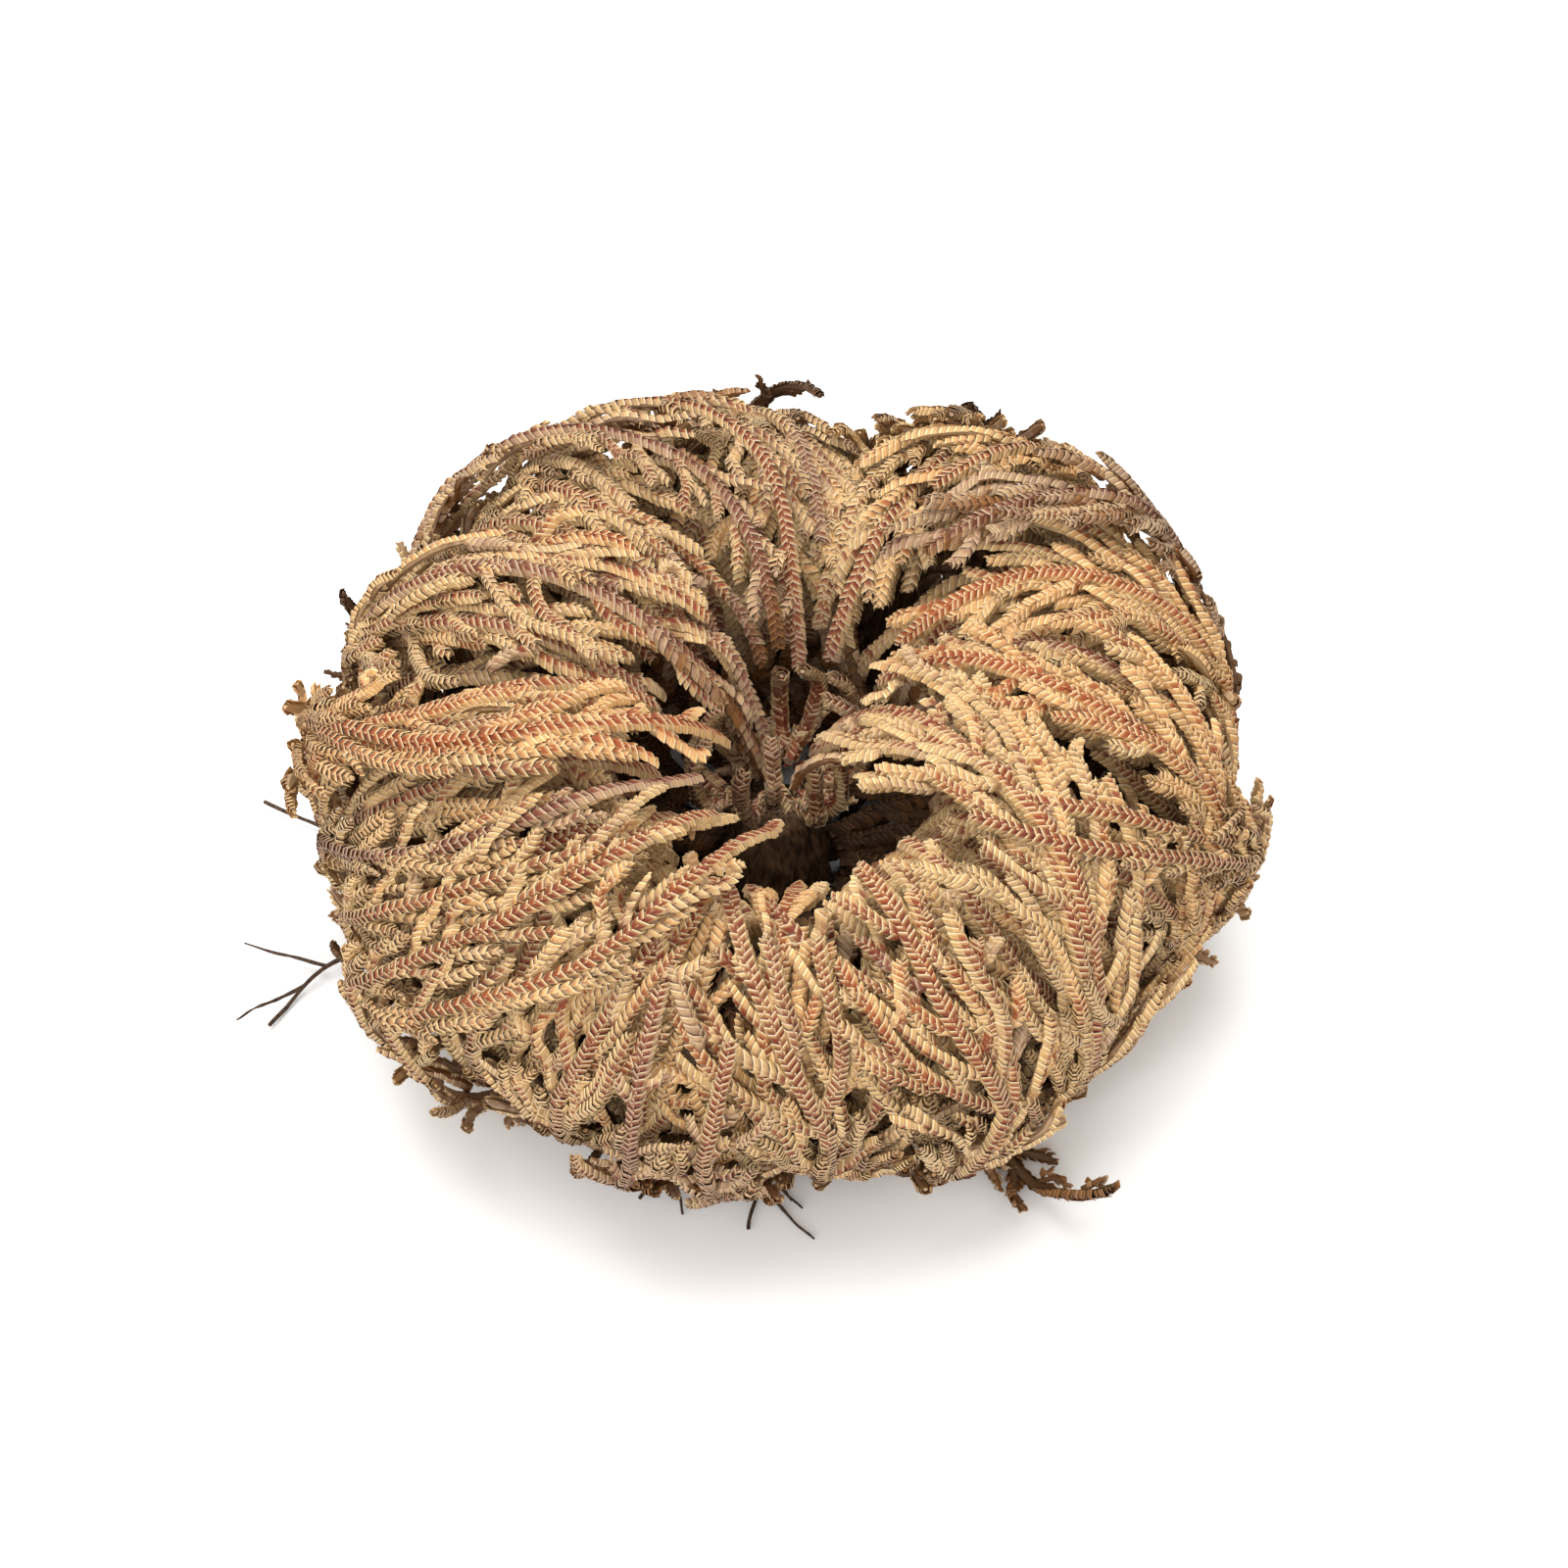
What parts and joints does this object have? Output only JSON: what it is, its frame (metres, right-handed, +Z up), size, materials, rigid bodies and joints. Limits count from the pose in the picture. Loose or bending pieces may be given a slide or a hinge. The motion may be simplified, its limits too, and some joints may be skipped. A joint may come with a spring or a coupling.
{
  "type": "rose of jericho",
  "caption": "Dried, rolled-up rosette plant: scaly branching fronds curl up from a short woody crown and over into a central hollow, with wiry roots beneath.",
  "frame": {"origin": "bottom centre of the whole plant's bounding box, on the surface it rests on", "axes": "+Z up along the crown, +X to the plant's right, -Y to its front; the plant is flatter than it is wide, so +Z is the shortest extent"},
  "size_m": [0.1018, 0.0954, 0.0428],
  "materials": {
    "bark": "dull, dry and fibrous",
    "old_frond": "dull dark brown, dead and brittle",
    "dusty_frond": "dull, dusty grey-purple brown with pale leaf edges",
    "straw_frond": "dull straw to golden tan, red-brown along the stems",
    "russet_frond": "dull russet brown",
    "root": "dull, dark and wiry"
  },
  "bodies": {
    "root": {"bud_frond_01": "straw_frond", "bud_frond_02": "straw_frond", "bud_frond_03": "straw_frond", "bud_frond_04": "straw_frond", "bud_frond_05": "straw_frond", "bud_frond_06": "straw_frond", "core_frond_01": "russet_frond", "core_frond_02": "russet_frond", "core_frond_03": "russet_frond", "core_frond_04": "russet_frond", "core_frond_05": "russet_frond", "core_frond_06": "russet_frond", "core_frond_07": "russet_frond", "crown": "bark", "old_frond_01": "old_frond", "old_frond_02": "old_frond", "old_frond_03": "old_frond", "old_frond_04": "old_frond", "old_frond_05": "old_frond", "old_frond_06": "old_frond", "old_frond_07": "old_frond", "old_frond_08": "old_frond", "old_frond_09": "old_frond", "outer_frond_01": "dusty_frond", "outer_frond_02": "dusty_frond", "outer_frond_03": "dusty_frond", "outer_frond_04": "dusty_frond", "outer_frond_05": "dusty_frond", "outer_frond_06": "dusty_frond", "outer_frond_07": "dusty_frond", "outer_frond_08": "dusty_frond", "outer_frond_09": "dusty_frond", "root_01": "root", "root_02": "root", "root_03": "root", "root_04": "root", "root_05": "root", "second_frond_01": "straw_frond", "second_frond_02": "straw_frond", "second_frond_03": "straw_frond", "second_frond_04": "straw_frond", "second_frond_05": "straw_frond", "second_frond_06": "straw_frond", "second_frond_07": "straw_frond", "second_frond_08": "straw_frond", "second_frond_09": "straw_frond", "second_frond_10": "straw_frond", "second_frond_11": "straw_frond", "third_frond_01": "straw_frond", "third_frond_02": "straw_frond", "third_frond_03": "straw_frond", "third_frond_04": "straw_frond", "third_frond_05": "straw_frond", "third_frond_06": "straw_frond", "third_frond_07": "straw_frond", "third_frond_08": "straw_frond", "third_frond_09": "straw_frond", "third_frond_10": "straw_frond", "third_frond_11": "straw_frond"}
  },
  "joints": []
}
